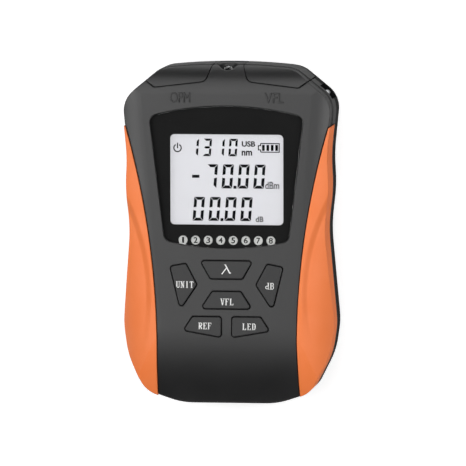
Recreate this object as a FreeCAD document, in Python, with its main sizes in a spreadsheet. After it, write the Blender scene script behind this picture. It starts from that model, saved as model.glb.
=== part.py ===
import FreeCAD, Part
import os
import re
import Sketcher
from FreeCAD import Placement, Rotation, Vector

# A hand-held optical power meter, lying on its back: +Z out of the display, +Y towards the test
# ports. The origin is on its flat back, midway between the foot and the corners of the port end.
# All sizes are millimetres.

SIZES = {
    # the whole case
    "case_length": 118,
    "case_width": 74,
    "case_depth": 30,
    "parting_height": 12.5,
    "ledge_height": 21.5,
    "ledge_width": 0.4,
    "back_edge_radius": 4,
    "rear_wall": 2.4,
    "rear_floor": 2.2,
    "form_margin": 15,
    "wall_overlap": 1,
    # corners of the plan outline: how far in from the widest point, and from the nearer end
    "top_inset": 13.3,
    "top_bow": 1.3,
    "shoulder_inset": -0.1,
    "shoulder_down": 11,
    "hollow_inset": 1.9,
    "hollow_down": 31,
    "swell_inset": 1.2,
    "swell_down": 42.5,
    "waist_inset": 2.9,
    "waist_down": 56,
    "hip_inset": -0.2,
    "hip_up": 28,
    "low_hip_inset": 1.3,
    "low_hip_up": 17.5,
    "foot_corner_inset": 8.1,
    "foot_corner_up": 4,
    "foot_inset": 20,
    "corner_radius": 9.5,
    "flank_radius": 55,
    "hip_radius": 26,
    # the flat face, and the round slopes that fall away from it
    "face_top_down": 9,
    "face_foot_up": 28,
    "face_inset_top": 7,
    "face_inset_foot": 14,
    "top_roll": 11.7,
    "foot_roll": 52,
    "side_roll": 17,
    # grips moulded round both flanks, and the bed that they and the port caps lie on
    "grip_thickness": 1.8,
    "grip_proud": 0.4,
    "grip_edge_inset": 12.6,
    "grip_edge_up": 22,
    "grip_tip_inset": 1.6,
    "grip_tip_down": 20.3,
    "grip_tip_rise": 4,
    "grip_edge_radius": 280,
    "grip_low_edge": 13.7,
    "seam": 0.3,
    "cavity_inset": 3.9,
    # display window
    "lens_half_top": 27.3,
    "lens_top_y": 42.3,
    "lens_half_foot": 22,
    "lens_foot_y": -1.3,
    "lens_top_rise": 3.75,
    "lens_foot_rise": 2.6,
    "lens_corner": 3,
    "lens_seat_depth": 2,
    "lens_thickness": 1.6,
    "lens_edge_radius": 0.45,
    "lens_gap": 0.15,
    "mask_thickness": 0.15,
    "view_width": 39.7,
    "view_height": 31.6,
    "view_corner": 1.5,
    "face_plate": 3.8,
    # display module
    "glass_width": 46,
    "glass_height": 36,
    "glass_thickness": 2,
    "glass_gap": 0.3,
    "frame_wall": 1,
    "frame_to_lights": 0.6,
    "contact_width": 1.8,
    "contact_inset": 3,
    # row of eight wire lights
    "light_count": 8,
    "light_pitch": 4.41,
    "light_y": -1.1,
    "light_radius": 1.6,
    "light_bar_floor": 1.5,
    "light_bar_height": 1,
    "light_bar_length": 2.9,
    "light_chip_width": 1,
    "light_chip_length": 1.6,
    # main board
    "board_top": 20,
    "board_thickness": 1.6,
    "board_half_width": 24,
    "board_top_margin": 3,
    "board_waist_y": -36,
    "board_taper": 4,
    "board_tail_half": 17,
    "board_tail_up": 7,
    # keypad
    "key_proud": 0.9,
    "key_fall": 0.65,
    "key_plate": 2.2,
    "key_gap": 0.25,
    "key_flange": 0.7,
    "key_flange_height": 1,
    "key_flange_gap": 0.3,
    "key_corner": 0.9,
    "key_edge": 0.4,
    "wave_half_top": 9.3,
    "wave_top_y": 8.15,
    "wave_half_foot": 5.6,
    "wave_foot_y": 14.5,
    "fault_half_top": 5,
    "fault_top_y": 18.9,
    "fault_half_foot": 9,
    "fault_foot_y": 25,
    "side_outer_x": 19.9,
    "side_outer_y": 10.3,
    "side_inner_x": 14.3,
    "side_inner_y": 9.2,
    "side_notch_x": 10.4,
    "side_notch_y": 16.6,
    "side_foot_x": 16.2,
    "side_foot_y": 25.3,
    "low_inner_x": 1.9,
    "low_outer_x": 12,
    "low_top_y": 27.8,
    "low_corner_x": 15.2,
    "low_corner_y": 32.7,
    "low_foot_y": 35,
    "mat_half_width": 20.6,
    "mat_top_y": 6.4,
    "mat_waist_y": 26,
    "mat_foot_half": 16.5,
    "mat_foot_y": 36.4,
    "mat_thickness": 0.8,
    "mat_boss_radius": 2.4,
    # test ports and torch in the top end
    "port_x": 16.4,
    "port_height": 12.5,
    "port_hole_radius": 5.7,
    "port_face_down": 3.4,
    "port_flange_down": 11,
    "port_flange_radius": 5.2,
    "port_flange_thickness": 2,
    "port_nozzle_radius": 3.6,
    "ferrule_radius": 1.26,
    "sleeve_wall": 0.5,
    "holder_radius": 5.6,
    "holder_length": 15,
    "diode_radius": 2.35,
    "diode_length": 3.6,
    "lead_hole_radius": 1.3,
    "laser_radius": 4.5,
    "laser_length": 30,
    "torch_height": 23,
    "torch_radius": 2.5,
    "torch_length": 8.6,
    "torch_tip_down": 0.9,
    "bezel_radius": 3.5,
    "bezel_length": 3,
    "bezel_down": 1,
    "fit_gap": 0.05,
    "cradle_width": 2,
    "cradle_margin": 2,
    "cradle_front_down": 14,
    "cradle_back_down": 21,
    "laser_cradle_down": 35,
    # port caps
    "cap_floor": 7,
    "cap_gap": 0.1,
    "cap_seam": 0.3,
    "cap_inner_x": 4.25,
    "cap_inner_foot_x": 7.2,
    "cap_inner_down": 4.7,
    "cap_outer_inset": 11.5,
    "cap_outer_down": 6.8,
    "cap_corner_inset": 7,
    "cap_corner_down": 3.5,
    "cap_inner_round": 3,
    "cap_outer_round": 1.6,
    "plug_radius": 5.3,
    "plug_wall": 1,
    "plug_length": 1,
    "hinge_inset": 0.85,
    "hinge_height": 6.2,
    "knuckle_radius": 0.8,
    "knuckle_length": 8,
    "pin_radius": 0.45,
    "pin_reach": 1.2,
    "neck_half": 0.7,
    "neck_rise": 0.4,
    "hinge_pocket_rise": 0.9,
    "hinge_relief_width": 22,
    # sockets in the foot end
    "jack_x": -4,
    "jack_width": 16,
    "jack_height": 13.5,
    "jack_depth": 18,
    "jack_recess": 0.5,
    "jack_mouth_width": 11.8,
    "jack_mouth_height": 8,
    "jack_mouth_rise": 2.2,
    "jack_mouth_depth": 12,
    "latch_width": 4.2,
    "latch_height": 2.2,
    "contact_count": 8,
    "contact_pitch": 1.02,
    "contact_thickness": 0.45,
    "contact_height": 1.2,
    "contact_length": 8,
    "contact_set_back": 3,
    "charge_x": 9.8,
    "charge_width": 8,
    "charge_height": 2.9,
    "charge_depth": 6,
    "charge_wall": 0.35,
    "tongue_width": 4,
    "tongue_thickness": 0.7,
    "tongue_set_back": 1,
    # battery and small parts
    "cell_length": 50,
    "cell_width": 34,
    "cell_thickness": 5,
    "cell_to_jack": 1.5,
    "cell_edge": 1.5,
    "pad_thickness": 0.6,
    "pad_inset": 2,
    "fence_height": 4,
    "fence_gap": 0.3,
    "fence_wall": 1.2,
    "chip_x": 8,
    "chip_y": 6,
    "chip_size": 10,
    "chip_height": 1.4,
    "buzzer_x": -10,
    "buzzer_to_holder": 4.5,
    "buzzer_radius": 4.5,
    "buzzer_height": 3,
    "plug_socket_x": 10,
    "plug_socket_y": -34,
    "plug_socket_width": 8,
    "plug_socket_length": 5,
    "plug_socket_height": 4.5,
    # screws
    "case_screw_gap": 1.1,
    "case_screw_top_down": 19,
    "case_screw_foot_x": 28.2,
    "case_screw_foot_up": 15,
    "case_screw_radius": 1.3,
    "case_screw_length": 16,
    "case_head_radius": 2.5,
    "case_head_height": 2,
    "case_head_floor": 3,
    "case_boss_radius": 3.4,
    "board_screw_top_x": 8.3,
    "board_screw_gap": 1.65,
    "board_screw_foot_x": 21.5,
    "board_screw_foot_y": -34.5,
    "board_screw_radius": 1,
    "board_screw_length": 6,
    "board_head_radius": 1.9,
    "board_head_height": 1.3,
    "board_boss_radius": 2.1,
    "screw_gap": 0.05,
    "pilot_margin": 0.5,
    # lanyard bar in the right shoulder
    "lanyard_inset": 4.3,
    "lanyard_down": 9.7,
    "lanyard_radius": 1.1,
    "lanyard_recess": 3.4,
    "lanyard_wall": 1.3,
    "lanyard_floor": 6,
    "lanyard_height": 12,
    "lanyard_seat": 1.5,
}

# Places that follow from the sizes, counted from the origin.
PLACES = {
    "half_width": "case_width/2",
    "port_end": "case_length/2",
    "foot_end": "-case_length/2",
    "face_top_y": "port_end - face_top_down",
    "face_foot_y": "foot_end + face_foot_up",
    "face_half_top": "half_width - face_inset_top",
    "face_half_foot": "half_width - face_inset_foot",
    "grip_edge_x": "half_width - grip_edge_inset",
    "grip_edge_y": "foot_end + grip_edge_up",
    "grip_tip_x": "half_width - grip_tip_inset",
    "grip_tip_y": "port_end - grip_tip_down",
    "glass_foot_y": "light_y + light_radius + frame_to_lights + frame_wall + fit_gap",
    "view_y": "glass_foot_y + glass_height/2",
    "lens_floor": "case_depth - lens_seat_depth",
    "ledge_floor": "case_depth - face_plate",
    "glass_floor": "ledge_floor - glass_gap - glass_thickness",
    "key_floor": "case_depth - key_plate - key_flange_gap - key_flange_height",
    "key_top": "case_depth + key_proud",
    "board_floor": "board_top - board_thickness",
    "board_top_y": "board_screw_top_y + board_top_margin",
    "board_tail_y": "foot_end + board_tail_up",
    "board_screw_top_y": "glass_foot_y + glass_height + frame_wall + fit_gap + board_boss_radius"
    " + board_screw_gap",
    "case_screw_top_x": "board_half_width + case_screw_gap + case_boss_radius",
    "case_screw_top_y": "port_end - case_screw_top_down",
    "case_screw_foot_y": "foot_end + case_screw_foot_up",
    "port_face_y": "port_end - port_face_down",
    "port_flange_y": "port_end - port_flange_down",
    "torch_tip_y": "port_end + top_bow - torch_tip_down",
    "bezel_y": "port_end - bezel_down - bezel_length",
    "hinge_y": "port_end - hinge_inset",
    "cell_foot_y": "foot_end + jack_recess + jack_depth + cell_to_jack",
    "buzzer_y": "port_flange_y - holder_length - buzzer_radius - buzzer_to_holder",
    "jack_front_y": "foot_end + jack_recess",
    "lanyard_x": "half_width - lanyard_inset",
    "lanyard_y": "port_end - lanyard_down",
}

doc = FreeCAD.newDocument("optical_power_meter")
sheet = doc.addObject("Spreadsheet::Sheet", "sizes")
for row, (size_name, size_value) in enumerate(SIZES.items(), start=1):
    sheet.set(f"A{row}", size_name)
    sheet.set(f"B{row}", str(size_value))
    sheet.setAlias(f"B{row}", size_name)
doc.recompute()

NODES = []
ALONG_X = Rotation(Vector(0, 1, 0), 90)
ALONG_Y = Rotation(Vector(-1, 0, 0), 90)
ALONG_Z = Rotation()


# ---- expressions and sketches ----------------------------------------------------------------


def formula(text):
    """Spells out places and writes the sheet's name in front of each size in an expression."""
    return re.sub(r"[a-z][a-z_0-9]*", lambda found: spelled(found.group()), str(text))


def spelled(word):
    if word in PLACES:
        return f"({formula(PLACES[word])})"
    return f"sizes.{word}" if word in SIZES else word


def number(text):
    """The value that an expression has now."""
    value = sheet.evalExpression(formula(text))
    return float(getattr(value, "Value", value))


def bind(item, **targets):
    """Binds properties of item to expressions. A double underscore stands for a dot."""
    for path, text in targets.items():
        item.setExpression(path.replace("__", "."), formula(text))


def node(item, label):
    """Names an object as one of the meter's pieces."""
    item.Label = label
    NODES.append(item)
    return item


def plane(body, role):
    return [feature for feature in body.Origin.OriginFeatures if feature.Role == role][0]


def sketch_edge(first, last, radius):
    """A straight edge, or an arc whose radius is negative where it bulges to the left."""
    if radius is None:
        return Part.LineSegment(first, last)
    chord = last - first
    half = chord.Length / 2
    rise = abs(radius) - (radius**2 - half**2) ** 0.5
    left = Vector(-chord.y, chord.x, 0).normalize()
    if radius < 0:
        return Part.ArcOfCircle(last, (first + last) / 2 + left * rise, first)
    return Part.ArcOfCircle(first, (first + last) / 2 - left * rise, last)


def outline(body, name, role, offset, points, arcs=None):
    """A closed sketch on an origin plane, its corners at pairs of expressions.

    arcs gives the radius of each edge that is round, by the number of its first corner.
    """
    arcs = arcs or {}
    sketch = body.newObject("Sketcher::SketchObject", name)
    sketch.AttachmentSupport = [(plane(body, role), "")]
    sketch.MapMode = "FlatFace"
    bind(sketch, AttachmentOffset__Base__z=offset)
    spots = [Vector(number(x), number(y), 0) for x, y in points]
    count = len(points)
    ends = []
    for i in range(count):
        radius = number(arcs[i]) if i in arcs else None
        edge = sketch_edge(spots[i], spots[(i + 1) % count], radius)
        forward = (edge.StartPoint - spots[i]).Length < 1e-6
        ends.append((1, 2) if forward else (2, 1))
        sketch.addGeometry(edge)
    for i in range(count):
        after = (i + 1) % count
        sketch.addConstraint(Sketcher.Constraint("Coincident", i, ends[i][1], after, ends[after][0]))
    for i, (x, y) in enumerate(points):
        for kind, text, value in (("DistanceX", x, spots[i].x), ("DistanceY", y, spots[i].y)):
            spot = sketch.addConstraint(Sketcher.Constraint(kind, -1, 1, i, ends[i][0], value))
            sketch.setExpression(f"Constraints[{spot}]", formula(text))
    for i, radius in arcs.items():
        size = f"abs({radius})"
        spot = sketch.addConstraint(Sketcher.Constraint("Radius", i, number(size)))
        sketch.setExpression(f"Constraints[{spot}]", formula(size))
    return sketch


def both_sides(points):
    """Adds the mirror image of a right-hand outline, going back up the left."""
    return points + [(f"-({x})", y) for x, y in reversed(points)]


def pad(body, name, sketch, length):
    feature = body.newObject("PartDesign::Pad", name)
    feature.Profile = sketch
    bind(feature, Length=length)
    doc.recompute()
    return feature


def prism(name, floor, height, points, arcs=None):
    """A body that is one plan outline, raised from floor by height."""
    body = doc.addObject("PartDesign::Body", name)
    pad(body, f"{name}_pad", outline(body, f"{name}_plan", "XY_Plane", floor, points, arcs), height)
    return body


def rounded(body, name, radius, edges):
    """Rounds the tip's edges that edges(edge) picks."""
    base = body.Tip
    picked = [f"Edge{i}" for i, edge in enumerate(base.Shape.Edges, start=1) if edges(edge)]
    feature = body.newObject("PartDesign::Fillet", name)
    feature.Base = (base, picked)
    bind(feature, Radius=radius)
    doc.recompute()
    return feature


def upright(corners=None):
    """Picks upright edges, all of them or those at pairs of expressions."""
    spots = [(number(x), number(y)) for x, y in corners] if corners else None

    def picks(edge):
        box = edge.BoundBox
        if box.ZLength < 0.1 or box.XLength > 0.01 or box.YLength > 0.01:
            return False
        return spots is None or any(abs(box.XMin - x) + abs(box.YMin - y) < 0.02 for x, y in spots)

    return picks


def level(height):
    """Picks edges that lie flat at a height."""
    at = number(height)
    return lambda edge: abs(edge.BoundBox.ZMin - at) < 0.01 and abs(edge.BoundBox.ZMax - at) < 0.01


# ---- solids and booleans ---------------------------------------------------------------------


def block(name, centre_x, low_y, floor, width, length, height):
    """A box centred on centre_x, from low_y and floor upwards."""
    item = doc.addObject("Part::Box", name)
    bind(item, Length=width, Width=length, Height=height)
    bind(item, Placement__Base__x=f"({centre_x}) - ({width})/2")
    bind(item, Placement__Base__y=low_y, Placement__Base__z=floor)
    return item


def rod(name, radius, length, x, y, z, turn=ALONG_Z):
    """A cylinder from one end's centre, along Z unless turned."""
    item = doc.addObject("Part::Cylinder", name)
    bind(item, Radius=radius, Height=length)
    item.Placement = Placement(Vector(), turn)
    bind(item, Placement__Base__x=x, Placement__Base__y=y, Placement__Base__z=z)
    return item


def fuse(name, *items):
    item = doc.addObject("Part::MultiFuse", name)
    item.Shapes = list(items)
    return item


def common(name, *items):
    item = doc.addObject("Part::MultiCommon", name)
    item.Shapes = list(items)
    return item


def cut(name, base, *tools):
    item = doc.addObject("Part::Cut", name)
    item.Base = base
    item.Tool = tools[0] if len(tools) == 1 else fuse(f"{name}_tools", *tools)
    return item


def ring(name, outer, inner, length, x, y, z, turn=ALONG_Z):
    return cut(
        name,
        rod(f"{name}_outside", outer, length, x, y, z, turn),
        rod(f"{name}_bore", inner, length, x, y, z, turn),
    )


def grown(name, source, by):
    """The same form with every face moved out, or in where by is negative."""
    item = doc.addObject("Part::Offset", name)
    item.Source = source
    bind(item, Value=by)
    doc.recompute()
    return item


# ---- master forms ----------------------------------------------------------------------------


def bow_radius(half, rise):
    """The radius of an arc over a chord of 2*half that rises by rise. It bulges outwards."""
    return f"-(({half})^2 + ({rise})^2)/(2*({rise}))"


def plan_form(name, arcs=None):
    """The case's waisted outline as one tall prism with round upright edges."""
    half = [("half_width - top_inset", "port_end")]
    for corner in ("shoulder", "hollow", "swell", "waist"):
        half.append((f"half_width - {corner}_inset", f"port_end - {corner}_down"))
    for corner in ("hip", "low_hip", "foot_corner"):
        half.append((f"half_width - {corner}_inset", f"foot_end + {corner}_up"))
    half.append(("half_width - foot_inset", "foot_end"))
    height = "case_depth + 2*form_margin"
    body = prism(name, "-form_margin", height, both_sides(half), arcs)
    for kind, radius, chosen in (
        ("corner", "corner_radius", (0, 1, 7)),
        ("flank", "flank_radius", (2, 3, 4)),
        ("hip", "hip_radius", (5, 6, 8)),
    ):
        corners = both_sides([half[i] for i in chosen])
        rounded(body, f"{name}_{kind}_rounds", radius, upright(corners))
    return body


def roof_form(name, drop):
    """The flat face, wider than the case, and the round slopes that fall from its four sides.

    Every face is sunk by drop, so roofs of different drops lie at an even distance.
    """
    body = doc.addObject("PartDesign::Body", name)
    face = f"case_depth - ({drop})"
    foot_roll = f"foot_roll - ({drop})"
    top_roll = f"top_roll - ({drop})"
    foot = f"face_foot_y - ({foot_roll})"
    top = f"face_top_y + {top_roll}"
    profile = [(foot, "-case_depth"), (foot, f"{face} - ({foot_roll})"), ("face_foot_y", face)]
    profile += [("face_top_y", face), (top, f"{face} - ({top_roll})"), (top, "-case_depth")]
    rolls = {1: f"-({foot_roll})", 3: f"-({top_roll})"}
    shape = outline(body, f"{name}_profile", "YZ_Plane", "0", profile, rolls)
    pad(body, f"{name}_slab", shape, "1.2*case_width").Midplane = True
    lean = "(face_half_top - face_half_foot)/(face_top_y - face_foot_y)"
    crease = f"face_half_foot - face_foot_y*{lean}"
    roll = f"side_roll - ({drop})"
    rim = f"{crease} + {roll}"
    sky = "case_depth + form_margin"
    wedge = [(crease, face), (rim, f"{face} - ({roll})"), (f"{rim} + case_width", f"{face} - ({roll})")]
    wedge += [(f"{rim} + case_width", sky), (crease, sky)]
    slope = body.newObject("PartDesign::Pocket", f"{name}_slope")
    slope.Profile = outline(body, f"{name}_slope_profile", "XZ_Plane", "0", wedge, {0: f"-({roll})"})
    slope.UseCustomVector = True
    slope.Midplane = True
    bind(slope, Length="4*case_length", Direction__x=lean, Direction__y="1", Direction__z="0")
    slopes = body.newObject("PartDesign::Mirrored", f"{name}_slopes")
    slopes.Originals = [slope]
    slopes.MirrorPlane = (plane(body, "YZ_Plane"), [""])
    body.Tip = slopes
    doc.recompute()
    return body


def slab(name, floor, height):
    """A slice of everything between two heights."""
    return block(name, "0", "-case_length", floor, "2*case_width", "2*case_length", height)


TOP_EDGE = 17
plan = plan_form("plan_form", {TOP_EDGE: bow_radius("half_width - top_inset", "top_bow")})
rail_plan = plan_form("rail_plan")
roof = roof_form("roof_form", "0")
crown_plan = grown("crown_plan", plan, "-ledge_width")
bed_plan = grown("bed_plan", plan, "-grip_thickness")
bed = common("bed_form", bed_plan, roof_form("bed_roof", "grip_thickness"))
cap_inside_plan = grown("cap_inside_plan", plan, "cap_gap - grip_thickness")
cap_inside_roof = roof_form("cap_inside_roof", "grip_thickness - cap_gap")
cap_inside = common("cap_inside", cap_inside_plan, cap_inside_roof)
cavity_plan = grown("cavity_plan", plan, "-cavity_inset")
cavity = common("cavity_form", cavity_plan, roof_form("cavity_roof", "face_plate"))


# ---- zones taken by the grips and caps -------------------------------------------------------


def grip_zone(name, gap, floor, side):
    """Everything outboard of a grip's inner edge, which sweeps in from the shoulder to the foot."""
    low_y = "foot_end - 3"
    points = [("grip_edge_x + GAP", "grip_edge_y"), ("grip_tip_x + GAP", "grip_tip_y - GAP")]
    points += [("grip_tip_x + 6", "grip_tip_y + grip_tip_rise - GAP")]
    points += [("half_width + 9", low_y), ("grip_edge_x + 0.6 + GAP", low_y)]
    points = [(x.replace("GAP", gap), y.replace("GAP", gap)) for x, y in points]
    arcs = {0: "-grip_edge_radius"}
    if side < 0:
        points = [(f"-({x})", y) for x, y in reversed(points)]
        arcs = {3: "-grip_edge_radius"}
    return prism(name, floor, "case_depth", points, arcs)


def cap_zone(name, gap, floor, side):
    """Everything a port cap covers: out from the middle post, across the top slope and shoulder."""
    far = "port_end + 4"
    outer = f"half_width - cap_outer_inset - {gap}"
    corner = f"half_width - cap_corner_inset - {gap}"
    points = [(f"cap_inner_x + {gap}", far), (f"{corner} + 2", far)]
    points += [(corner, f"port_end - cap_corner_down + {gap}")]
    points += [(outer, f"port_end - cap_outer_down + {gap}")]
    points += [(f"cap_inner_foot_x + {gap}", f"port_end - cap_inner_down + {gap}")]
    if side < 0:
        points = [(f"-({x})", y) for x, y in points]
    outer_spot, inner_spot = points[3:]
    if side < 0:
        points.reverse()
    body = prism(name, floor, "case_depth", points)
    rounded(body, f"{name}_outer_round", f"cap_outer_round - {gap}", upright([outer_spot]))
    rounded(body, f"{name}_inner_round", f"cap_inner_round - {gap}", upright([inner_spot]))
    return body


SIDES = {"left": -1, "right": 1}
grip_rebates = []
cap_rebates = []
for side_name, side in SIDES.items():
    zone = grip_zone(f"{side_name}_grip_rebate", "0", "grip_low_edge", side)
    grip_rebates.append(cut(f"{side_name}_grip_room", zone, bed))
    zone = cap_zone(f"{side_name}_cap_rebate", "0", "cap_floor", side)
    cap_rebates.append(cut(f"{side_name}_cap_room", zone, bed))


# ---- openings shared by both shells ----------------------------------------------------------


def hinge_room(name, x):
    """A pocket for a cap's knuckle, with a hole for each pin end and an edge rounded for its skirt."""
    axle = ("hinge_y", "hinge_height", ALONG_X)
    long = "knuckle_length + 2*pin_reach + 2*fit_gap"
    pins = rod(f"{name}_pins", "pin_radius + fit_gap", long, f"{x} - ({long})/2", *axle)
    reach = "knuckle_radius + 2*cap_gap"
    low = f"hinge_height - ({reach})"
    wide = "knuckle_length + 2*cap_gap"
    tall = f"cap_floor + hinge_pocket_rise - ({low})"
    pocket = block(f"{name}_pocket", x, f"hinge_y - ({reach})", low, wide, "form_margin", tall)
    size = ("hinge_relief_width", "form_margin", "cap_floor - hinge_height")
    relief = cut(
        f"{name}_relief",
        block(f"{name}_corner", x, "hinge_y", "hinge_height", *size),
        rod(f"{name}_round", "knuckle_radius + fit_gap", "2*case_width", "-case_width", *axle),
    )
    return fuse(name, pins, pocket, relief)


LANYARD_AT = ("lanyard_height + 2*lanyard_seat", "lanyard_x", "lanyard_y", "lanyard_floor - lanyard_seat")


def end_openings():
    """Port holes and torch hole in the port end, socket mouths in the foot end, lanyard recess."""
    wall = "port_end - cavity_inset - wall_overlap"
    tools = []
    for side_name, side in SIDES.items():
        hole = (f"{side}*port_x", wall, "port_height", ALONG_Y)
        tools.append(rod(f"{side_name}_port_hole", "port_hole_radius", "form_margin", *hole))
        tools.append(hinge_room(f"{side_name}_hinge_room", f"{side}*port_x"))
    hole = ("0", wall, "torch_height", ALONG_Y)
    tools.append(rod("torch_hole", "bezel_radius + fit_gap", "form_margin", *hole))
    room = ("0", "torch_tip_y - torch_length", "torch_height", ALONG_Y)
    tools.append(rod("torch_room", "torch_radius + fit_gap", "torch_length", *room))
    for name in ("jack", "charge"):
        spot = (f"{name}_x", "foot_end - wall_overlap", f"board_floor - {name}_height - fit_gap")
        long = f"wall_overlap + jack_recess + {name}_depth + fit_gap"
        size = (f"{name}_width + 2*fit_gap", long, f"{name}_height + 2*fit_gap")
        tools.append(block(f"{name}_hole", *spot, *size))
    recess = ("lanyard_height", "lanyard_x", "lanyard_y", "lanyard_floor")
    tools.append(rod("lanyard_hole", "lanyard_recess", *recess))
    tools.append(rod("lanyard_seats", "lanyard_radius", *LANYARD_AT))
    return fuse("end_openings", *tools)


def at_screws(kind, make):
    """Makes one thing at each of the four screws of a kind."""
    made = []
    for place in ("top", "foot"):
        for side_name, side in SIDES.items():
            spot = (f"{side}*{kind}_screw_{place}_x", f"{kind}_screw_{place}_y")
            made.append(make(f"{kind}_{place}_{side_name}", *spot))
    return made


def lanyard_walls(name, floor, height):
    """The material round the lanyard recess, between two heights."""
    post = rod(f"{name}_post", "lanyard_recess + lanyard_wall", *LANYARD_AT)
    return common(name, post, plan, slab(f"{name}_slab", floor, height))


# ---- shells and grips ------------------------------------------------------------------------


def cell_block(name, floor, gap, height):
    """A box that follows the battery cell's four sides at a gap."""
    size = (f"cell_width + 2*({gap})", f"cell_length + 2*({gap})", height)
    return block(name, "0", f"cell_foot_y - ({gap})", floor, *size)


def rear_shell(openings):
    """The back half: a tray with screw bosses, port cradles and a battery fence.

    Its end is straight under the port caps, so that they swing clear of it, and bowed beside them.
    """
    low = common("rear_low", rail_plan, slab("rear_low_slab", "0", "cap_floor"))
    doc.recompute()
    edges = [i for i, edge in enumerate(low.Shape.Edges, start=1) if level("0")(edge)]
    radius = number("back_edge_radius")
    rounded_low = doc.addObject("Part::Fillet", "rear_rounded")
    rounded_low.Base = low
    rounded_low.Edges = [(i, radius, radius) for i in edges]
    high = common("rear_high", plan, slab("rear_high_slab", "cap_floor", "parting_height - cap_floor"))
    inside = grown("rear_inside", rail_plan, "-rear_wall")
    hollow = common("rear_hollow", inside, slab("rear_hollow_slab", "rear_floor", "case_depth"))
    tray = cut("rear_tray", fuse("rear_outside", rounded_low, high), hollow)
    tall = "parting_height - rear_floor"
    posts = at_screws(
        "case", lambda name, x, y: rod(f"{name}_post", "case_boss_radius", tall, x, y, "rear_floor")
    )
    posts.append(lanyard_walls("rear_lanyard", "0", "parting_height"))
    size = ("2*(holder_radius + cradle_margin)", "cradle_width", tall)
    for name, x, down in (
        ("holder_cradle_front", "-port_x", "cradle_front_down"),
        ("holder_cradle_back", "-port_x", "cradle_back_down"),
        ("laser_cradle_front", "port_x", "cradle_front_down"),
        ("laser_cradle_back", "port_x", "laser_cradle_down"),
    ):
        posts.append(block(name, x, f"port_end - {down}", "rear_floor", *size))
    fence = cut(
        "cell_fence",
        cell_block("fence_outside", "rear_floor", "fence_gap + fence_wall", "fence_height"),
        cell_block("fence_inside", "0", "fence_gap", "case_depth"),
    )
    rooms = at_screws("case", case_screw_room)
    for kind, x in (("holder", "-port_x"), ("laser", "port_x")):
        long = f"{kind}_length + 2*port_flange_thickness"
        spot = (long, x, f"port_flange_y - {kind}_length", "port_height", ALONG_Y)
        rooms.append(rod(f"{kind}_room", f"{kind}_radius + fit_gap", *spot))
    whole = fuse("rear_whole", tray, *posts, fence)
    node(cut("rear_shell", whole, *rooms, *cap_rebates, openings), "rear_shell")


def case_screw_room(name, x, y):
    """A clearance hole with a counterbore for the head, from the back."""
    at = (x, y, "-form_margin")
    hole = rod(f"{name}_hole", "case_screw_radius + 2*screw_gap", "2*case_depth", *at)
    bore_height = "form_margin + case_head_floor + case_head_height"
    bore = rod(f"{name}_counterbore", "case_head_radius + 4*screw_gap", bore_height, *at)
    return fuse(f"{name}_room", hole, bore)


def front_shell(openings, key_rooms):
    """The display half: walls, sloped face, window seat, key openings and screw bosses."""
    wall_slab = slab("front_wall_slab", "parting_height", "ledge_height - parting_height")
    wall = common("front_wall", plan, roof, wall_slab)
    crown_slab = slab("front_crown_slab", "ledge_height - wall_overlap", "case_depth")
    crown = common("front_crown", crown_plan, roof, crown_slab)
    walls = cut("front_walls", fuse("front_outside", wall, crown), cavity)
    posts = []
    for kind, floor in (("case", "parting_height + fit_gap"), ("board", "board_top")):
        posts += at_screws(kind, lambda name, x, y: rod(
            f"{name}_boss", f"{kind}_boss_radius", "case_depth", x, y, floor
        ))
    under_lens = slab("post_slab", "0", "lens_floor - wall_overlap")
    posts = common("front_posts", fuse("front_post_rods", *posts), bed, under_lens)
    eye = lanyard_walls("front_lanyard", "parting_height", "case_depth")
    whole = fuse("front_whole", walls, posts, eye)
    pilots = []
    for kind, floor in (("case", "case_head_floor + case_head_height"), ("board", "board_floor")):
        long = f"{kind}_screw_length + pilot_margin"
        pilots += at_screws(kind, lambda name, x, y: rod(
            f"{name}_pilot", f"{kind}_screw_radius", long, x, y, floor
        ))
    rooms = [*grip_rebates, *cap_rebates, *window_rooms(), *key_rooms, openings]
    node(cut("front_shell", whole, *rooms, *pilots), "front_shell")


def grip(name, side):
    """A soft moulding over one flank, standing a little proud of the face beside it."""
    proud = roof_form(f"{name}_roof", "-grip_proud")
    zone = grip_zone(f"{name}_zone", "seam", "grip_low_edge + seam/2", side)
    node(cut(f"{name}_whole", common(f"{name}_skin", plan, proud, zone), bed), name)


# ---- window and display ----------------------------------------------------------------------


def window(name, floor, height, gap):
    """The window's outline: flanks that close in towards the keys, bowed top and foot."""
    top = [("lens_half_top + GAP", "lens_top_y + GAP"), ("lens_half_foot + GAP", "lens_foot_y - GAP")]
    right = [(x.replace("GAP", gap), y.replace("GAP", gap)) for x, y in top]
    arcs = {
        1: bow_radius("lens_half_foot", "lens_foot_rise"),
        3: bow_radius("lens_half_top", "lens_top_rise"),
    }
    body = prism(name, floor, height, both_sides(right), arcs)
    rounded(body, f"{name}_corners", "lens_corner", upright(both_sides(right)))
    return body


def view_opening(name, floor, height, gap):
    """The rounded rectangle through which the display shows."""
    half = f"view_width/2 + {gap}"
    right = [(half, f"view_y + view_height/2 + {gap}"), (half, f"view_y - view_height/2 - {gap}")]
    body = prism(name, floor, height, both_sides(right))
    rounded(body, f"{name}_corners", "view_corner", upright())
    return body


def light_spots():
    """Where the wire lights stand, from left to right."""
    return [f"({i} - (light_count - 1)/2)*light_pitch" for i in range(int(number("light_count")))]


def light_rods(name, radius, floor, height):
    spots = enumerate(light_spots(), start=1)
    return fuse(name, *[rod(f"{name}_{i}", radius, height, x, "light_y", floor) for i, x in spots])


def display_block(name, floor, gap, height):
    """A box that follows the display glass's four sides at a gap."""
    size = (f"glass_width + 2*({gap})", f"glass_height + 2*({gap})", height)
    return block(name, "0", f"glass_foot_y - ({gap})", floor, *size)


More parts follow.
